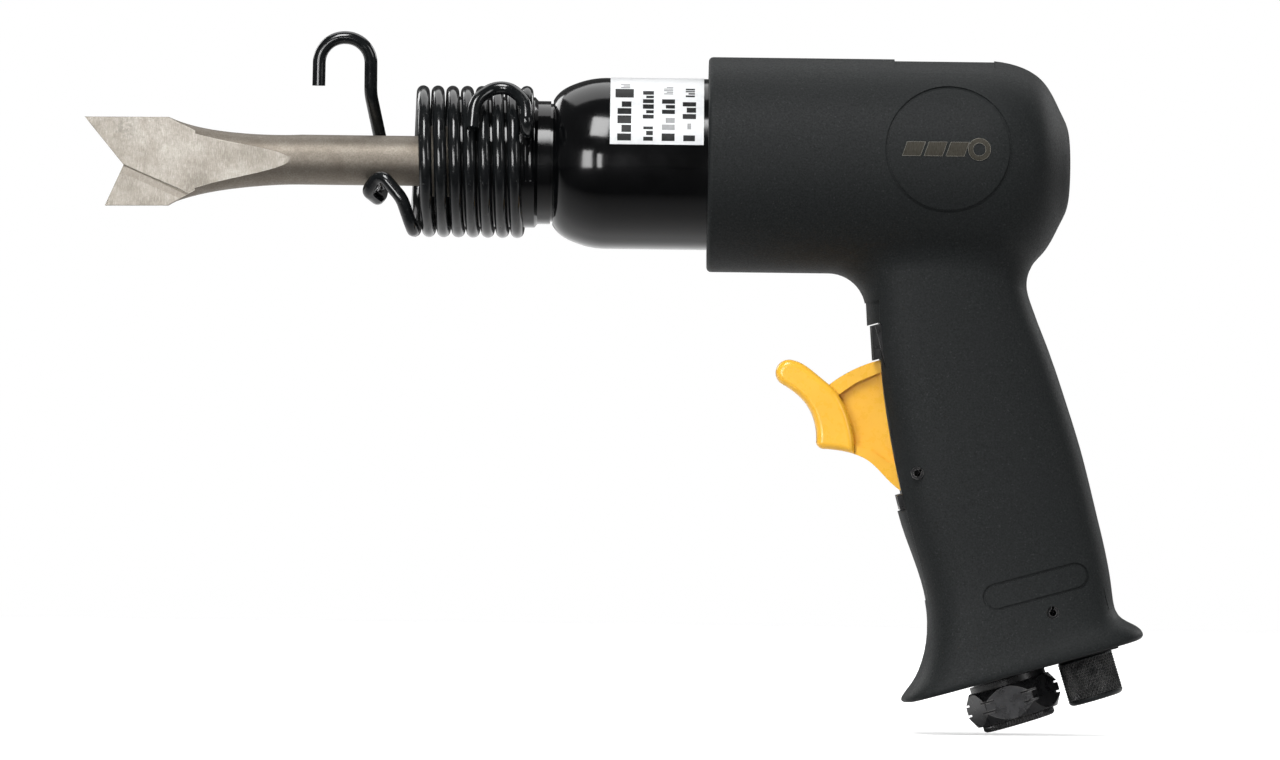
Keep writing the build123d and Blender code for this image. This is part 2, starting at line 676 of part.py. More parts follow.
def inlet_bushing():
    """The hexagonal air inlet, threaded inside for the hose fitting."""
    low, high = HEX_HEIGHTS
    plane = Plane(origin=air_point(low), x_dir=(0, 1, 0), z_dir=AIR_UP)
    across_corners = HEX_ACROSS_FLATS / cos(pi / 6)
    hexagon = extrude(RegularPolygon(across_corners / 2, 6, rotation=22.5), amount=high - low)
    corner_radius = across_corners / 2 - 0.1
    end_radius = HEX_ACROSS_FLATS / 2 - 0.1
    top = high - low
    half_section = Polyline(
        (0, 0),
        (end_radius, 0),
        (corner_radius, HEX_CHAMFER),
        (corner_radius, top - HEX_CHAMFER),
        (end_radius, top),
        (0, top),
        close=True,
    )
    rounding = revolve(Plane.XZ * make_face(half_section), axis=Axis.Z)
    nut = plane * (hexagon & rounding)
    for height in (4.6, 7.0):
        outer = cylinder(air_point(height), AIR_UP, 15.0, 0.5)
        nut -= outer - cylinder(air_point(height - 1), AIR_UP, across_corners / 2 - 1.0, 3.0)
    body = nut + cylinder(air_point(high), AIR_UP, INLET_BODY_RADIUS, BUSHING_TOP - high)
    body += cylinder(air_point(0), AIR_UP, MOUTH_RADIUS, low)
    body -= cylinder(air_point(-1.0), AIR_UP, INLET_THREAD_RADIUS, INLET_THREAD_LENGTH + 1.0)
    body -= cylinder(air_point(0.0), AIR_UP, 4.0, 40.0)
    return body - cylinder(air_point(20.0), AIR_UP, 6.0, 20.0)


def inlet_collar():
    """The knurled ring round the mouth of the inlet."""
    collar = cylinder(air_point(0), AIR_UP, 8.8, HEX_HEIGHTS[0])
    return collar - cylinder(air_point(-1), AIR_UP, MOUTH_RADIUS, 5.0)


def inlet_screen():
    """The dirt screen in the top of the inlet, a perforated cup."""
    cup = cylinder(air_point(20.1), AIR_UP, 5.9, 7.7) - cylinder(air_point(20.9), AIR_UP, 5.2, 10.0)
    for angle in range(0, 360, 60):
        across = 3.2 * cos(radians(angle))
        side = 3.2 * sin(radians(angle))
        cup -= cylinder(air_point(19.0, across, side), AIR_UP, 0.6, 3.0)
    return cup - cylinder(air_point(19.0), AIR_UP, 0.9, 3.0)


def regulator_valve():
    """The rotary air regulator: knob, stem with its retaining groove, and a half-cut tip."""
    def piece(low, high, radius):
        return cylinder(air_point(low, REGULATOR_OFFSET), AIR_UP, radius, high - low)

    knob = piece(0.2, 11.2, 6.7)
    knob = fillet(knob.edges().filter_by(GeomType.CIRCLE).sort_by(Axis.Z)[0], 1.2)
    valve = knob + piece(11.0, 35.5, REGULATOR_BORE - 0.06)
    pin_clearance = PIN_RADIUS + 0.2
    valve -= ring_groove(REGULATOR_PIN_HEIGHT - pin_clearance, REGULATOR_PIN_HEIGHT + pin_clearance, 3.0)
    valve -= ring_groove(16.4, 18.0, 4.2)
    tip_cut = Plane(origin=air_point(33.0, REGULATOR_OFFSET + 5.0), x_dir=AIR_BACK, z_dir=AIR_UP)
    return valve - tip_cut * Box(10.0, 12.0, 7.0)


def ring_groove(low, high, inner):
    """A groove round the regulator's stem, as a cutter."""
    outer = cylinder(air_point(low, REGULATOR_OFFSET), AIR_UP, 9.0, high - low)
    return outer - cylinder(air_point(low - 1, REGULATOR_OFFSET), AIR_UP, inner, high - low + 2)


def regulator_seal():
    """The O-ring in the regulator's groove."""
    band = cylinder(air_point(16.55, REGULATOR_OFFSET), AIR_UP, REGULATOR_BORE - 0.03, 1.3)
    return band - cylinder(air_point(16.0, REGULATOR_OFFSET), AIR_UP, 4.25, 3.0)


def exhaust_deflector():
    """The slotted ring in the gap between the barrel and the housing."""
    deflector = ring(2.0, 6.0, HOUSING_BORE - 0.05, BARREL_RADIUS + 0.05)
    for angle in range(15, 375, 30):
        slot = Pos(2.5, 0, 21.6) * Box(5.0, 3.4, 1.2)
        deflector -= slot.rotate(Axis.X, angle)
    return deflector


def rating_label():
    """The thin label wrapped over the top of the barrel."""
    strip = Polyline((-25.0, 0, 20.52), (-2.6, 0, 20.52), (-2.6, 0, 20.6), (-25.0, 0, 20.6), close=True)
    band = revolve(make_face(strip), axis=Axis.X, revolution_arc=140.0)
    return band.rotate(Axis.X, -62.0)


def static_rings():
    """The seals, gaskets and washers that stay put."""
    return {
        "cylinder_seal": ring(34.1, 35.9, 19.6, 17.1),
        "valve_gasket": ring(68.05, 69.4, VALVE_RADIUS, 10.0),
        "valve_cushion": ring(69.5, 70.95, VALVE_RADIUS, 8.0),
        "throttle_stem_seal": throttle_rod(0.7, 1.9, 3.2) - throttle_rod(0, 3, STEM_RADIUS + 0.04),
        "throttle_plug": throttle_rod(PLUG_FRONT, CORE_BACK - 0.2, BUSHING_RADIUS),
        "inlet_seal": cylinder(air_point(9.95), AIR_UP, 9.3, 1.4)
        - cylinder(air_point(9.0), AIR_UP, INLET_BODY_RADIUS + 0.05, 4.0),
    }


def all_parts():
    """Every node of the tool but the housing, by name."""
    parts = {
        "side_badges": side_badges(),
        "handle_core": handle_core(),
        "barrel": barrel(),
        "rating_label": rating_label(),
        "exhaust_deflector": exhaust_deflector(),
        "retainer_spring": retainer_spring(),
        "chisel": chisel(),
        "piston": piston(),
        "valve_front_case": valve_front_case(),
        "valve_disc": valve_disc(),
        "valve_rear_case": valve_rear_case(),
        "valve_locating_pin": rod(53.1, 66.9, 0.97, 12.0),
        "trigger": trigger(),
        "trigger_pin": roll_pin(TRIGGER_PIVOT, PIN_RADIUS, 31.0, -45.0),
        "throttle_bushing": throttle_bushing(),
        "throttle_stem": throttle_stem(),
        "throttle_seat_seal": throttle_rod(BUSHING_BACK + 0.05, HEAD_FRONT, 4.4)
        - throttle_rod(BUSHING_BACK, HEAD_FRONT + 1, STEM_RADIUS + 0.02),
        "throttle_spring": throttle_spring(),
        "inlet_bushing": inlet_bushing(),
        "inlet_collar": inlet_collar(),
        "inlet_screen": inlet_screen(),
        "regulator_valve": regulator_valve(),
        "regulator_seal": regulator_seal(),
        "regulator_pin": roll_pin(regulator_pin_centre(), PIN_RADIUS, 33.4, -90.0),
    }
    return parts | static_rings()


def main():
    """Write every part, shifted so that the origin is the centre of the inlet's mouth."""
    os.makedirs("parts", exist_ok=True)
    export_step(housing(), "parts/housing.step")
    for name, shape in all_parts().items():
        export_step(placed(shape), f"parts/{name}.step")


if __name__ == "__main__":
    main()
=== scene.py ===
"""The looks of a pneumatic air hammer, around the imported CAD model. Metres, in the CAD frame:
+X from the chisel to the back of the housing, +Y across, +Z up, origin at the air inlet's mouth."""

import json
import math
import random

import bmesh
import bpy
from mathutils import Matrix, Vector


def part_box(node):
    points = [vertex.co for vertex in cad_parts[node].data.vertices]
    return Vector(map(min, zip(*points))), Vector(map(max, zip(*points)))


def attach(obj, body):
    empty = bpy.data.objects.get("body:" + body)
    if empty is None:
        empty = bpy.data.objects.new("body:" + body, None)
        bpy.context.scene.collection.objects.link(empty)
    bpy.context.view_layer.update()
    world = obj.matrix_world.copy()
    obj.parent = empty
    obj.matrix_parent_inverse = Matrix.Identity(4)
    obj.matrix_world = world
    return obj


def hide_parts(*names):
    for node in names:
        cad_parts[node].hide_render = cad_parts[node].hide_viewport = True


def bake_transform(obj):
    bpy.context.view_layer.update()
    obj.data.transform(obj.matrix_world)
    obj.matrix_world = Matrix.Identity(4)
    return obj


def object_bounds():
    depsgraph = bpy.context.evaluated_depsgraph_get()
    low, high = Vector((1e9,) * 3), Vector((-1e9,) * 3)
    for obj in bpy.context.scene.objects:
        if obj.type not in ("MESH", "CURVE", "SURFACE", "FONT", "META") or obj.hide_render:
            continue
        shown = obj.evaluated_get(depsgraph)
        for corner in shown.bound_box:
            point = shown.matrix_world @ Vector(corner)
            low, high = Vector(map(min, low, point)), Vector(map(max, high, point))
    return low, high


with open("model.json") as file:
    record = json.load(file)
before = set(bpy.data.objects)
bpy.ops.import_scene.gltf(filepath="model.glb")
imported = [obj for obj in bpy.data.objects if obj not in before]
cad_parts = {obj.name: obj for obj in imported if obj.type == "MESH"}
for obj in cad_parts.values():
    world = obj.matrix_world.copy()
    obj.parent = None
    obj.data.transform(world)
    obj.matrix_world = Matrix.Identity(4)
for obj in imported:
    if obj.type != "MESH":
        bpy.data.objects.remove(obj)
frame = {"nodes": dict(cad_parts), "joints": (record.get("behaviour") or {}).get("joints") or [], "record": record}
CAD_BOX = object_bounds()
NODES = frame["nodes"]
JOINTS = {joint["name"]: joint for joint in frame["joints"]}
MM = 0.001

# Places taken from the frame
BARREL_LOW, BARREL_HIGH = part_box("barrel")
AXIS_Z = (BARREL_LOW.z + BARREL_HIGH.z) / 2
LABEL_LOW, LABEL_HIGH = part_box("rating_label")
LABEL_TOP = (LABEL_HIGH.z - AXIS_Z) / MM
AIR_UP = Vector(JOINTS["regulator_turn"]["axis"])

# The span that a noise's values usually cover
NOISE_LOW, NOISE_HIGH = 0.3, 0.7


# ---------------------------------------------------------------- materials

class Surface:
    """A material with short helpers for its node tree."""

    def __init__(self, name):
        self.name = name
        self.material = bpy.data.materials.new(name)
        self.material.use_nodes = True
        self.tree = self.material.node_tree
        self.shader = self.tree.nodes["Principled BSDF"]
        self.coordinates = self.tree.nodes.new("ShaderNodeTexCoord").outputs["Object"]

    def set(self, **values):
        """Uniform values go straight onto the shader's own sockets."""
        for name, value in values.items():
            self.shader.inputs[name.replace("_", " ")].default_value = value

    def node(self, kind, **settings):
        made = self.tree.nodes.new(kind)
        for name, value in settings.items():
            setattr(made, name, value)
        return made

    def link(self, output, target):
        self.tree.links.new(output, target)

    def feed(self, source, target):
        """Sets a socket to a number or an RGB colour, or links an output to it."""
        if isinstance(source, (int, float)):
            target.default_value = source
        elif isinstance(source, tuple):
            target.default_value = (*source, 1.0)
        else:
            self.link(source, target)

    def scaled(self, x, y, z):
        """Object coordinates stretched along the three axes."""
        mapping = self.node("ShaderNodeMapping")
        mapping.inputs["Scale"].default_value = (x, y, z)
        self.link(self.coordinates, mapping.inputs["Vector"])
        return mapping.outputs["Vector"]

    def noise(self, scale, detail=4.0, roughness=0.5, vector=None):
        made = self.node("ShaderNodeTexNoise")
        made.inputs["Scale"].default_value = scale
        made.inputs["Detail"].default_value = detail
        made.inputs["Roughness"].default_value = roughness
        self.link(vector or self.coordinates, made.inputs["Vector"])
        return made.outputs["Fac"]

    def cells(self, scale):
        """Distance to the nearest of scattered points."""
        made = self.node("ShaderNodeTexVoronoi", feature="F1")
        made.inputs["Scale"].default_value = scale
        self.link(self.coordinates, made.inputs["Vector"])
        return made.outputs["Distance"]

    def remap(self, value, low, high, to_low, to_high):
        made = self.node("ShaderNodeMapRange")
        for name, number in zip(
            ("From Min", "From Max", "To Min", "To Max"), (low, high, to_low, to_high)
        ):
            made.inputs[name].default_value = number
        self.link(value, made.inputs["Value"])
        return made.outputs["Result"]

    def over_noise(self, value, to_low, to_high):
        """A noise stretched from one number to another."""
        return self.remap(value, NOISE_LOW, NOISE_HIGH, to_low, to_high)

    def mottled(self, value, low, high):
        """Two colours mixed by a noise."""
        return self.colours(value, (NOISE_LOW, low), (NOISE_HIGH, high))

    def colours(self, value, *stops):
        """A colour ramp over (position, colour) stops."""
        made = self.node("ShaderNodeValToRGB")
        ramp = made.color_ramp
        while len(ramp.elements) < len(stops):
            ramp.elements.new(0.5)
        for element, (position, colour) in zip(ramp.elements, stops):
            element.position = position
            element.color = (*colour, 1.0)
        self.link(value, made.inputs["Fac"])
        return made.outputs["Color"]

    def blend(self, factor, first, second):
        """A mix of two colours. The mix node's RGBA sockets are 6 and 7, and its result is 2."""
        made = self.node("ShaderNodeMix", data_type="RGBA")
        for source, target in ((factor, 0), (first, 6), (second, 7)):
            self.feed(source, made.inputs[target])
        return made.outputs[2]

    def maths(self, operation, *values):
        made = self.node("ShaderNodeMath", operation=operation)
        for source, target in zip(values, made.inputs):
            self.feed(source, target)
        return made.outputs[0]

    def edges(self, radius):
        """0 on flats, rising to 1 at the sharp edges within a radius in metres."""
        spread = 0.08
        rounded = self.node("ShaderNodeBevel", samples=6)
        rounded.inputs["Radius"].default_value = radius
        compared = self.node("ShaderNodeVectorMath", operation="DOT_PRODUCT")
        self.link(rounded.outputs["Normal"], compared.inputs[0])
        self.link(self.node("ShaderNodeNewGeometry").outputs["Normal"], compared.inputs[1])
        return self.remap(compared.outputs["Value"], 1.0 - spread / 8, 1.0 - spread, 0.0, 1.0)

    def near(self, point, inner, outer):
        """1 within the inner distance of a point, falling to 0 at the outer one."""
        apart = self.node("ShaderNodeVectorMath", operation="DISTANCE")
        self.link(self.coordinates, apart.inputs[0])
        apart.inputs[1].default_value = point
        return self.remap(apart.outputs["Value"], inner, outer, 1.0, 0.0)

    def facing_side(self, low, high):
        """0 where the surface is turned from the side, 1 where it faces it squarely."""
        parts = self.node("ShaderNodeSeparateXYZ")
        self.link(self.node("ShaderNodeNewGeometry").outputs["Normal"], parts.inputs[0])
        return self.remap(self.maths("ABSOLUTE", parts.outputs["Y"]), low, high, 0.0, 1.0)

    def along(self, axis, low, high):
        """0 below the low coordinate and 1 above the high one."""
        parts = self.node("ShaderNodeSeparateXYZ")
        self.link(self.coordinates, parts.inputs[0])
        return self.remap(parts.outputs[axis], low, high, 0.0, 1.0)

    def line(self, start, end, inner, outer):
        """1 along a straight line seen from the side, through two (x, z) points in metres."""
        across = Vector((start[1] - end[1], 0.0, end[0] - start[0])).normalized()
        offset = self.node("ShaderNodeVectorMath", operation="SUBTRACT")
        self.link(self.coordinates, offset.inputs[0])
        offset.inputs[1].default_value = (start[0], 0.0, start[1])
        apart = self.node("ShaderNodeVectorMath", operation="DOT_PRODUCT")
        self.link(offset.outputs["Vector"], apart.inputs[0])
        apart.inputs[1].default_value = across
        return self.remap(self.maths("ABSOLUTE", apart.outputs["Value"]), inner, outer, 1.0, 0.0)

    def colour(self, output):
        self.link(output, self.shader.inputs["Base Color"])

    def roughness(self, output):
        self.link(output, self.shader.inputs["Roughness"])

    def bump(self, *layers):
        """Adds bump layers, each (height output, strength, distance in metres)."""
        normal = None
        for height, strength, distance in layers:
            made = self.node("ShaderNodeBump")
            made.inputs["Strength"].default_value = strength
            made.inputs["Distance"].default_value = distance
            self.link(height, made.inputs["Height"])
            if normal is not None:
                self.link(normal, made.inputs["Normal"])
            normal = made.outputs["Normal"]
        self.link(normal, self.shader.inputs["Normal"])


def composite_material():
    """Dark grey moulded composite with a fine, slightly speckled grain."""
    s = Surface("housing_composite")
    s.set(Specular_IOR_Level=0.15)
    grain = s.noise(2300, 3.0, 0.62)
    patches = s.noise(60, 3.0, 0.5)
    specks = s.remap(s.noise(2100, 1.0, 0.5), 0.64, 0.80, 0.0, 0.45)
    base = s.mottled(grain, (0.0072, 0.0084, 0.0086), (0.0155, 0.0175, 0.0178))
    base = s.blend(specks, base, (0.046, 0.048, 0.049))
    base = s.blend(s.remap(patches, 0.35, 0.65, 0.0, 0.3), base, (0.0125, 0.0135, 0.0145))
    s.colour(base)
    s.roughness(s.over_noise(grain, 0.66, 0.52))
    s.bump((s.noise(900, 2.0, 0.5), 0.25, 0.00006), (grain, 0.55, 0.00005))
    return s


def gloss_black_material():
    """Deep gloss black lacquer with a trace of orange peel and handling haze."""
    s = Surface("black_barrel")
    s.set(Specular_IOR_Level=0.37)
    haze = s.noise(90, 5.0, 0.6)
    dust = s.remap(s.cells(520), 0.0, 0.06, 0.08, 0.0)
    base = s.colours(haze, (0.35, (0.0012, 0.0013, 0.0015)), (0.75, (0.0030, 0.0032, 0.0036)))
    s.colour(s.blend(dust, base, (0.10, 0.10, 0.10)))
    s.roughness(s.remap(haze, 0.3, 0.75, 0.08, 0.17))
    s.bump((s.noise(420, 2.0, 0.4), 0.10, 0.00002))
    return s


def spring_material():
    """Blackened spring wire with a satin surface and a little wear."""
    s = Surface("spring_steel")
    s.set(Specular_IOR_Level=0.50)
    mottle = s.noise(500, 4.0, 0.6)
    flecks = s.remap(s.noise(1300, 2.0, 0.6), 0.66, 0.78, 0.0, 0.3)
    base = s.mottled(mottle, (0.0030, 0.0036, 0.0040), (0.0075, 0.0085, 0.0092))
    s.colour(s.blend(flecks, base, (0.16, 0.16, 0.16)))
    s.roughness(s.over_noise(mottle, 0.11, 0.19))
    s.bump((mottle, 0.2, 0.00003))
    return s


def tool_steel_material():
    """Bare forged steel: a browner satin shank, and brighter flats scored by the grinding wheel."""
    s = Surface("tool_steel")
    s.set(Metallic=1.0)
    low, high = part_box("chisel")
    flats_end = low.x + 49 * MM
    blades_end = low.x + 24 * MM
    notch = (low.x + 9.5 * MM, high.z - 11.7 * MM)
    ridge_end = (low.x + 24.2 * MM, high.z - 18.3 * MM)
    ridge_fade = ridge_end[0] + 1.5 * MM
    worn_tip = (low.x + 9.0 * MM, low.y, high.z - 2.6 * MM)
    clouds = s.noise(95, 3.0, 0.55)
    blotches = s.noise(160, 5.0, 0.65)
    grit = s.noise(2600, 3.0, 0.7)
    grain = s.noise(900, 4.0, 0.75)
    scores = s.noise(500, 3.0, 0.7, s.scaled(9.0, 1.0, 1.0))
    fine_scores = s.noise(1500, 2.0, 0.6, s.scaled(6.0, 1.0, 0.5))
    ground = s.maths(
        "MULTIPLY", s.facing_side(0.985, 0.993), s.along("X", flats_end + MM, flats_end - MM)
    )
    shank = s.colours(blotches, (0.25, (0.165, 0.143, 0.117)), (0.75, (0.255, 0.231, 0.200)))
    shank = s.blend(s.remap(grit, 0.35, 0.65, 0.0, 0.45), shank, (0.125, 0.107, 0.086))
    flat = s.colours(
        clouds,
        (0.32, (0.235, 0.214, 0.183)),
        (0.50, (0.345, 0.318, 0.280)),
        (0.68, (0.430, 0.405, 0.365)),
    )
    flat = s.blend(s.remap(grain, 0.38, 0.66, 0.0, 0.45), flat, (0.20, 0.18, 0.15))
    flat = s.blend(s.remap(scores, 0.35, 0.70, 0.0, 0.30), flat, (0.22, 0.20, 0.17))
    flat = s.blend(s.remap(fine_scores, 0.5, 0.7, 0.0, 0.3), flat, (0.66, 0.64, 0.60))
    pits = s.remap(s.noise(1000, 3.0, 0.7), 0.44, 0.53, 0.0, 0.9)
    pitted = s.maths("MULTIPLY", s.near(worn_tip, 4.5 * MM, 7.5 * MM), pits)
    flat = s.blend(pitted, flat, (0.060, 0.053, 0.042))
    # Painted shade: a thin dark line on the flats along the ridge from the notch, standing for the shadow of the
    # small step there; it fades out at the ridge's end.
    painted_ridge_shade = s.line(notch, ridge_end, 0.08 * MM, 0.28 * MM)
    painted_ridge_shade = s.maths("MULTIPLY", painted_ridge_shade, s.along("X", ridge_fade + 0.5 * MM, ridge_fade - 0.5 * MM))
    flat = s.blend(s.maths("MULTIPLY", painted_ridge_shade, 0.8), flat, (0.10, 0.088, 0.07))
    # Edges and creases found by the bevel: tinted lighter along the blades and darker everywhere else, by an
    # amount that varies in blotches.
    edge_tone_mask = s.maths("MULTIPLY", s.edges(0.0003), s.remap(blotches, 0.35, 0.6, 0.2, 0.8))
    on_blades = s.along("X", blades_end + MM, blades_end - MM)
    edge_tone = s.blend(on_blades, (0.62, 0.59, 0.53), (0.11, 0.10, 0.08))
    s.colour(s.blend(edge_tone_mask, s.blend(ground, shank, flat), edge_tone))
    s.roughness(s.over_noise(grit, 0.48, 0.64))
    s.bump((grit, 0.5, 0.00004), (grain, 0.35, 0.00005), (scores, 0.25, 0.00004), (pitted, 0.2, 0.00004))
    return s


def trigger_material():
    """Glossy orange-yellow moulded plastic."""
    s = Surface("trigger_plastic")
    s.set(Specular_IOR_Level=0.5, Coat_Weight=0.15, Coat_Roughness=0.15)
    cloud = s.noise(70, 4.0, 0.55)
    s.colour(s.mottled(cloud, (0.88, 0.455, 0.034), (0.92, 0.51, 0.047)))
    s.roughness(s.over_noise(s.noise(600, 3.0, 0.6), 0.24, 0.34))
    s.bump((s.noise(350, 2.0, 0.5), 0.12, 0.00004))
    return s


def dark_metal_material(name, base_low, base_high, rough, metallic=0.6, wear=0.5):
    """Blackened or painted metal with worn, lighter edges and fine handling scratches."""
    s = Surface(name)
    s.set(Metallic=metallic)
    mottle = s.noise(420, 5.0, 0.6)
    scratches = s.remap(s.noise(700, 2.0, 0.5, s.scaled(1.0, 1.0, 7.0)), 0.66, 0.74, 0.0, 0.35 * wear)
    base = s.mottled(mottle, base_low, base_high)
    worn = s.maths("MULTIPLY", s.edges(0.00025), s.remap(mottle, 0.35, 0.6, 0.1, wear))
    base = s.blend(scratches, base, (0.20, 0.20, 0.19))
    s.colour(s.blend(worn, base, (0.30, 0.29, 0.28)))
    s.roughness(s.over_noise(mottle, rough, rough + 0.14))
    s.bump((s.noise(1800, 3.0, 0.6), 0.25, 0.00003))
    return s


def bright_metal_material(name, low, high, rough, rim=None):
    """Machined metal with fine turning marks, and rims of another colour where one is given."""
    s = Surface(name)
    s.set(Metallic=1.0)
    marks = s.noise(900, 4.0, 0.7, s.scaled(6.0, 1.0, 1.0))
    base = s.mottled(marks, low, high)
    s.colour(s.blend(s.edges(0.00014), base, rim) if rim else base)
    s.roughness(s.over_noise(marks, rough, rough + 0.15))
    s.bump((marks, 0.2, 0.00002))
    return s


def rubber_material():
    """Black nitrile rubber, slightly oily."""
    s = Surface("seal_rubber")
    bloom = s.noise(500, 4.0, 0.6)
    s.colour(s.mottled(bloom, (0.006, 0.006, 0.007), (0.014, 0.014, 0.015)))
    s.roughness(s.over_noise(bloom, 0.22, 0.4))
    s.bump((bloom, 0.2, 0.00003))
    return s


def vinyl_material(name, low, high, specular=0.5):
    """Label film or the ink printed on it."""
    s = Surface(name)
    s.set(Specular_IOR_Level=specular)
    fibre = s.noise(900, 4.0, 0.6)
    smudge = s.noise(130, 4.0, 0.6)
    base = s.mottled(fibre, low, high)
    s.colour(s.blend(s.remap(smudge, 0.55, 0.75, 0.0, 0.2), base, tuple(0.7 * value for value in low)))
    s.roughness(s.over_noise(fibre, 0.30, 0.42))
    s.bump((fibre, 0.1, 0.00001))
    return s


# Each material by its surface's name; the record's slots have the same names
MATERIALS = {
    surface.name: surface.material
    for surface in (
        composite_material(),
        bright_metal_material(
            "badge_metal", (0.030, 0.028, 0.023), (0.062, 0.058, 0.048), rough=0.42, rim=(0.30, 0.29, 0.26)
        ),
        dark_metal_material(
            "core_metal", (0.004, 0.004, 0.0045), (0.009, 0.009, 0.010), rough=0.25, metallic=0.2, wear=0.1
        ),
        gloss_black_material(),
        vinyl_material("label_vinyl", (0.60, 0.61, 0.62), (0.68, 0.69, 0.70)),
        vinyl_material("label_ink", (0.006, 0.0065, 0.0065), (0.015, 0.016, 0.0165), specular=0.15),
        vinyl_material("label_ink_pale", (0.17, 0.175, 0.18), (0.23, 0.235, 0.24)),
        dark_metal_material(
            "black_plastic", (0.008, 0.008, 0.008), (0.014, 0.014, 0.015), rough=0.5, metallic=0.0, wear=0.1
        ),
        spring_material(),
        tool_steel_material(),
        bright_metal_material("polished_steel", (0.42, 0.42, 0.43), (0.58, 0.58, 0.59), rough=0.18),
        bright_metal_material("valve_steel", (0.28, 0.28, 0.29), (0.42, 0.42, 0.43), rough=0.30),
        dark_metal_material(
            "pin_steel", (0.014, 0.014, 0.015), (0.035, 0.035, 0.037), rough=0.24, wear=0.7
        ),
        trigger_material(),
        bright_metal_material("valve_brass", (0.52, 0.37, 0.15), (0.70, 0.53, 0.24), rough=0.28),
        rubber_material(),
        dark_metal_material("blackened_steel", (0.012, 0.012, 0.013), (0.032, 0.032, 0.034), rough=0.22),
        dark_metal_material(
            "regulator_black", (0.005, 0.006, 0.007), (0.014, 0.016, 0.017), rough=0.34, metallic=0.5
        ),
    )
}


def paint_nodes():
    """Gives every CAD node the detailed material of its slot."""
    for row in frame["record"]["subparts"]:
        mesh = NODES[row["node"]].data
        mesh.materials.clear()
        mesh.materials.append(MATERIALS[row["material_slot"]])


# ---------------------------------------------------------------- pieces

def finished(name, shape, body, material, hides=()):
    """Turns a bmesh into a piece of the scene, riding on its body."""
    mesh = bpy.data.meshes.new(name)
    bmesh.ops.recalc_face_normals(shape, faces=shape.faces)
    shape.to_mesh(mesh)
    shape.free()
    piece = bpy.data.objects.new(name, mesh)
    bpy.context.scene.collection.objects.link(piece)
    mesh.materials.append(MATERIALS[material])
    mesh.shade_smooth()
    mesh.set_sharp_from_angle(angle=math.radians(32))
    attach(piece, body)
    if hides:
        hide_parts(*hides)


def axis_frame(origin, axis):
    """A matrix that takes local Z to the axis, at the origin given, and local Y to the row's Y."""
    up = Vector(axis).normalized()
    side = Vector((0, 1, 0))
    return Matrix.Translation(origin) @ Matrix((side.cross(up), side, up)).transposed().to_4x4()


def turned_shape(matrix, profile, segments, relief=None):
    """A surface of revolution about local Z, from (radius, height) points in mm. The relief
    function gives how far a point moves outwards, from its height, angle and radius. A first
    and last radius of 0 close the ends."""
    shape = bmesh.new()
    rows = []
    for radius, height in profile:
        if radius == 0:
            rows.append([shape.verts.new(matrix @ (Vector((0, 0, height)) * MM))])
            continue
        ring = []
        for step in range(segments):
            angle = 2 * math.pi * step / segments
            reach = radius + (relief(height, angle, radius) if relief else 0)
            point = Vector((reach * math.cos(angle), reach * math.sin(angle), height))
            ring.append(shape.verts.new(matrix @ (point * MM)))
        rows.append(ring)
    for first, second in zip(rows, rows[1:]):
        for step in range(segments):
            after = (step + 1) % segments
            corners = [first[step % len(first)], first[after % len(first)],
                       second[after % len(second)], second[step % len(second)]]
            face = list(dict.fromkeys(corners))
            if len(face) > 2:
                shape.faces.new(face)
    return shape


def triangle_wave(phase):
    """0 to 1 and back over each whole turn of the phase."""
    return 1 - abs(2 * (phase % 1.0) - 1)


def grooved(radius, groove_radius, start, end):
    """The profile points of a groove in a stem, between two heights."""
    return [(radius, start), (groove_radius, start), (groove_radius, end), (radius, end)]


def knurled_knob():
    """The regulator: a diamond-knurled knob with a rounded end, and its grooved stem inside."""
    joint_point = Vector(JOINTS["regulator_turn"]["pos_m"])
    matrix = axis_frame(joint_point - AIR_UP * joint_point.dot(AIR_UP), AIR_UP)
    knob_radius, stem_radius = 6.7, 5.44
    low, high, stem_end = 0.2, 11.2, 34.0
    bottom_round, stem_chamfer = 1.3, 0.6
    knurl_low, knurl_high = low + 1.1, high - 0.7
    depth, around, lead = 0.34, 44, 1.30
    crest, run_out = 0.8, 0.25
    rows, steps_per_ridge = 84, 6

    def diamonds(height, angle, radius):
        if not knurl_low <= height <= knurl_high or radius < knob_radius - 0.01:
            return 0.0
        turn = around * angle / (2 * math.pi)
        first = triangle_wave(turn + height / lead)
        second = triangle_wave(turn - height / lead)
        ends = min(1.0, (height - knurl_low) / run_out, (knurl_high - height) / run_out)
        return -depth * ends * (1 - min(crest, first, second) / crest)

    profile = [(0, low), (3.2, low), (4.9, low + 0.02)]
    profile += [
        (knob_radius - bottom_round + bottom_round * math.sin(a), knurl_low - 1.08 * math.cos(a))
        for a in (math.radians(d) for d in range(8, 91, 9))
    ]
    profile += [(knob_radius, knurl_low + (knurl_high - knurl_low) * i / rows) for i in range(rows + 1)]
    profile += [(knob_radius - 0.1, high - 0.4), (knob_radius - 0.5, high), (stem_radius, high)]
    profile += grooved(stem_radius, 4.2, 16.4, 18.0)  # for the O-ring
    profile += grooved(stem_radius, 3.0, 22.0, 26.0)  # for the roll pin
    profile += [(stem_radius, stem_end), (stem_radius - stem_chamfer, stem_end + stem_chamfer)]
    profile += [(0, stem_end + stem_chamfer)]
    shape = turned_shape(matrix, profile, around * steps_per_ridge, diamonds)
    finished("regulator_knob", shape, "regulator", "regulator_black", hides=("regulator_valve",))


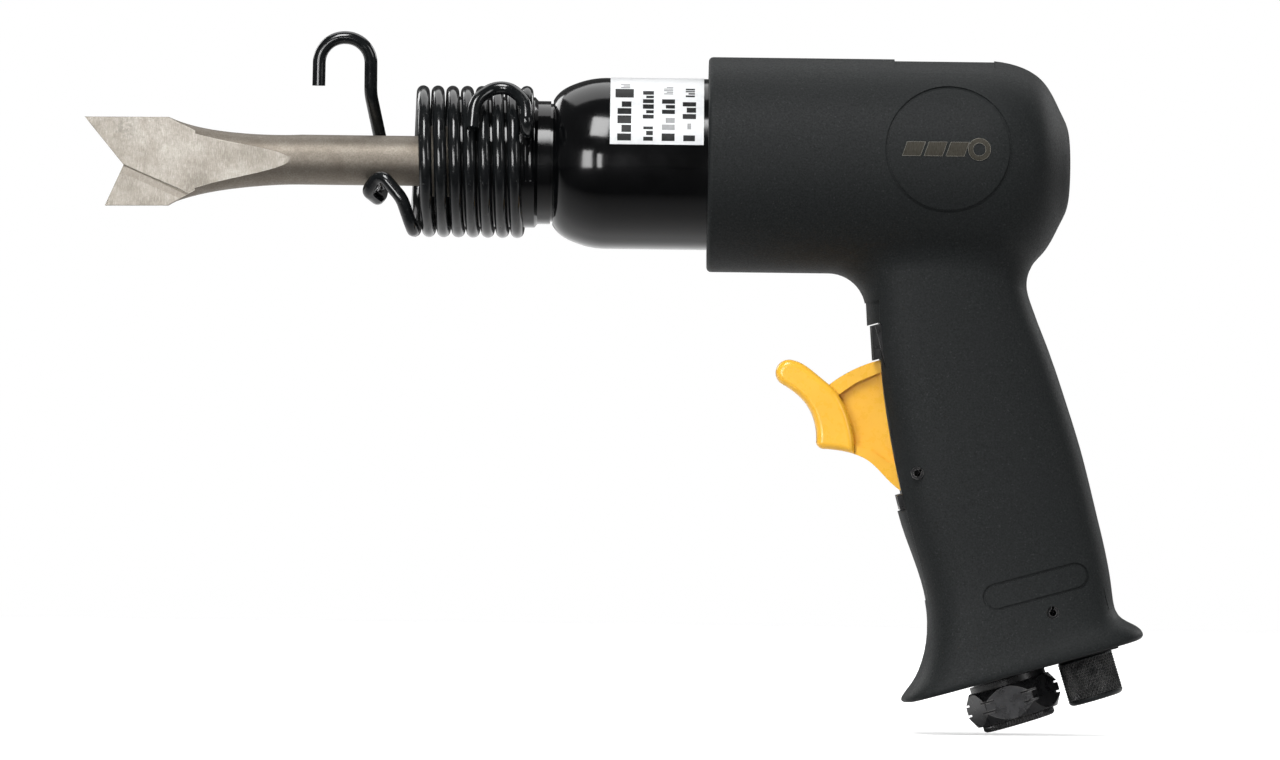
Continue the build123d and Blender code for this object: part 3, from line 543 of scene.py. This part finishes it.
def serrated_collar():
    """The straight-knurled ring round the inlet's mouth."""
    matrix = axis_frame((0, 0, 0), AIR_UP)
    inner, outer, top = 7.2, 8.8, 1.7
    teeth, depth, crest = 76, 0.28, 0.75
    steps_per_tooth = 6

    def serrations(height, angle, radius):
        if radius < outer - 0.4:
            return 0.0
        return -depth * (1 - min(crest, triangle_wave(teeth * angle / (2 * math.pi))) / crest)

    profile = [(inner, top), (inner, 0.0), (outer - 0.75, 0.0), (outer - 0.5, 0.06), (outer - 0.12, 0.35)]
    profile += [(outer, 0.5), (outer, 1.0), (outer, 1.45), (outer - 0.2, top), (inner, top)]
    shape = turned_shape(matrix, profile, teeth * steps_per_tooth, serrations)
    bmesh.ops.remove_doubles(shape, verts=shape.verts, dist=1e-7)  # joins the profile's two ends
    finished("inlet_collar_knurled", shape, "housing", "blackened_steel", hides=("inlet_collar",))


def throttle_spring_coil():
    """A copy of the throttle spring, baked into place, which stands in for the hidden rigid node."""
    source = NODES["throttle_spring"]
    spring = bpy.data.objects.new("throttle_spring_coil", source.data.copy())
    bpy.context.scene.collection.objects.link(spring)
    spring.matrix_world = source.matrix_world
    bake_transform(spring)
    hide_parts("throttle_spring")


def label_patch(shape, x_low, x_high, arc_low, arc_high):
    """A rectangle of print on the label: along the barrel in mm, and round it in mm of arc
    upwards from the level of the axis on the near side."""
    ink_thickness = 0.012
    row_height = 0.4
    radius = LABEL_TOP + ink_thickness
    columns, rows = 2, max(2, math.ceil((arc_high - arc_low) / row_height))
    grid = []
    for i in range(rows + 1):
        angle = (arc_low + (arc_high - arc_low) * i / rows) / radius
        y, z = -radius * math.cos(angle), radius * math.sin(angle)
        along = [x_low + (x_high - x_low) * j / columns for j in range(columns + 1)]
        grid.append([shape.verts.new((LABEL_LOW.x + x * MM, y * MM, AXIS_Z + z * MM)) for x in along])
    for lower, upper in zip(grid, grid[1:]):
        for j in range(columns):
            shape.faces.new((lower[j], lower[j + 1], upper[j + 1], upper[j]))


def label_print():
    """Plain blocks and bars on the label, standing for the lines of a rating plate."""
    draw = random.Random(11)
    dark, pale = bmesh.new(), bmesh.new()

    def run_of_blocks(shape, centre, height, start, end, width, gap=0.4):
        """A row of plain blocks, in mm: its centre and height along the barrel, its start and
        end round it, and a block's usual width. The widths are uneven, and one block in three
        is shorter."""
        place, count = start, 0
        while place + width < end:
            size = width * draw.uniform(0.7, 1.2)
            high = centre + height / 2
            low = high - height * (0.7 if count % 3 == 1 else 1.0)
            label_patch(shape, low, high, place, place + size)
            place += size + gap
            count += 1

    run_of_blocks(dark, 3.4, 3.3, 5.2, 16.8, 1.9)
    label_patch(dark, 1.2, 5.6, 17.6, 21.2)
    run_of_blocks(pale, 3.6, 2.2, 21.6, 24.0, 0.6, 0.25)
    run_of_blocks(dark, 9.1, 2.3, 5.2, 10.0, 1.0)
    run_of_blocks(dark, 9.1, 2.6, 11.0, 21.8, 1.3)
    run_of_blocks(dark, 13.9, 3.1, 5.2, 7.6, 1.6)
    run_of_blocks(pale, 13.9, 3.1, 8.0, 11.6, 1.4)
    run_of_blocks(dark, 13.9, 3.1, 12.4, 18.6, 1.6)
    run_of_blocks(pale, 13.9, 2.2, 19.0, 22.6, 0.6, 0.25)
    run_of_blocks(dark, 18.9, 2.8, 5.2, 7.6, 1.6)
    run_of_blocks(pale, 18.9, 0.9, 8.2, 10.2, 1.4)
    run_of_blocks(dark, 18.9, 3.2, 11.0, 17.6, 1.5)
    run_of_blocks(dark, 19.1, 2.2, 18.0, 22.4, 0.7, 0.3)
    finished("label_print", dark, "housing", "label_ink")
    finished("label_print_pale", pale, "housing", "label_ink_pale")


# ---------------------------------------------------------------- stage

def make_floor():
    """A round pale studio floor just under the tool. The camera sees it evenly bright, and the
    tool's reflections and bounced light see it dark in front and pale behind."""
    radius, gap = 1.3, 0.0002
    front_y, back_y = -0.16, 0.05
    low, high = CAD_BOX
    mesh = bpy.data.meshes.new("floor")
    shape = bmesh.new()
    bmesh.ops.create_circle(shape, cap_ends=True, segments=96, radius=radius)
    shape.to_mesh(mesh)
    floor = bpy.data.objects.new("floor", mesh)
    floor.location = ((low[0] + high[0]) / 2, 0, low[2] - gap)
    bpy.context.scene.collection.objects.link(floor)
    s = Surface("floor")
    s.set(Roughness=0.85, Specular_IOR_Level=0.1, Emission_Color=(1, 1, 1, 1))
    seen = s.node("ShaderNodeLightPath").outputs["Is Camera Ray"]
    pale = s.mottled(s.noise(3, 3.0, 0.5), (0.86, 0.86, 0.86), (0.90, 0.90, 0.90))
    pool = s.blend(s.along("Y", front_y, back_y), (0.03, 0.03, 0.03), (0.90, 0.90, 0.90))
    s.colour(s.blend(seen, pool, pale))
    s.link(s.remap(seen, 0.0, 1.0, 0.0, 0.52), s.shader.inputs["Emission Strength"])
    mesh.materials.append(s.material)


# Soft boxes: name, place, width and height in metres, and watts
SOFT_BOXES = (
    ("top", (-0.05, 0.55, 1.15), (1.4, 0.9), 8),
    ("key", (-0.30, -0.80, 1.10), (0.45, 0.62), 15),
    ("front_left", (-0.62, -1.05, 0.15), (0.26, 0.60), 7),
    ("front", (-0.30, -1.15, 0.12), (0.14, 0.50), 3),
    ("right", (0.95, -0.75, 0.45), (0.4, 0.5), 2.5),
    ("rear_left", (-0.9, 0.9, 0.6), (0.6, 0.6), 5),
    ("rear_right", (0.9, 0.9, 0.6), (0.6, 0.6), 5),
)


def make_lights():
    """The soft boxes, turned towards the middle of the tool."""
    middle = Vector((-0.06, 0.0, 0.10))
    for name, location, size, power in SOFT_BOXES:
        data = bpy.data.lights.new(name, "AREA")
        data.shape = "RECTANGLE"
        data.size, data.size_y = size
        data.energy = power
        light = bpy.data.objects.new(name, data)
        bpy.context.scene.collection.objects.link(light)
        light.location = location
        light.rotation_euler = (middle - Vector(location)).to_track_quat("-Z", "Y").to_euler()


def make_sky():
    """A sky that the camera sees white, and that lights the tool only gently."""
    world = bpy.data.worlds.new("studio")
    bpy.context.scene.world = world
    world.use_nodes = True
    tree = world.node_tree
    sky = tree.nodes["Background"]
    sky.inputs["Color"].default_value = (1.0, 1.0, 1.0, 1)
    seen = tree.nodes.new("ShaderNodeLightPath").outputs["Is Camera Ray"]
    strength = tree.nodes.new("ShaderNodeMapRange")
    strength.inputs["To Min"].default_value = 0.09
    strength.inputs["To Max"].default_value = 1.0
    tree.links.new(seen, strength.inputs["Value"])
    tree.links.new(strength.outputs["Result"], sky.inputs["Strength"])


def make_camera():
    """A level view, square to the tool's side, with a trace of roll and plain colours."""
    distance = 3.0
    frame_width = 0.3072
    roll = math.radians(0.7)
    target = Vector((-0.0922, 0.0, 0.0812))
    data = bpy.data.cameras.new("camera")
    data.sensor_width = 36.0
    data.lens = data.sensor_width * distance / frame_width
    data.clip_start = 0.05
    camera = bpy.data.objects.new("camera", data)
    bpy.context.scene.collection.objects.link(camera)
    right = Vector((math.cos(roll), 0, math.sin(roll)))
    up = Vector((-math.sin(roll), 0, math.cos(roll)))
    back = Vector((0, -1, 0))
    camera.matrix_world = Matrix.Translation(target + back * distance) @ Matrix(
        (right, up, back)
    ).transposed().to_4x4()
    bpy.context.scene.camera = camera
    bpy.context.scene.view_settings.view_transform = "Standard"


make_camera()
make_lights()
make_sky()
make_floor()
paint_nodes()
knurled_knob()
serrated_collar()
throttle_spring_coil()
label_print()
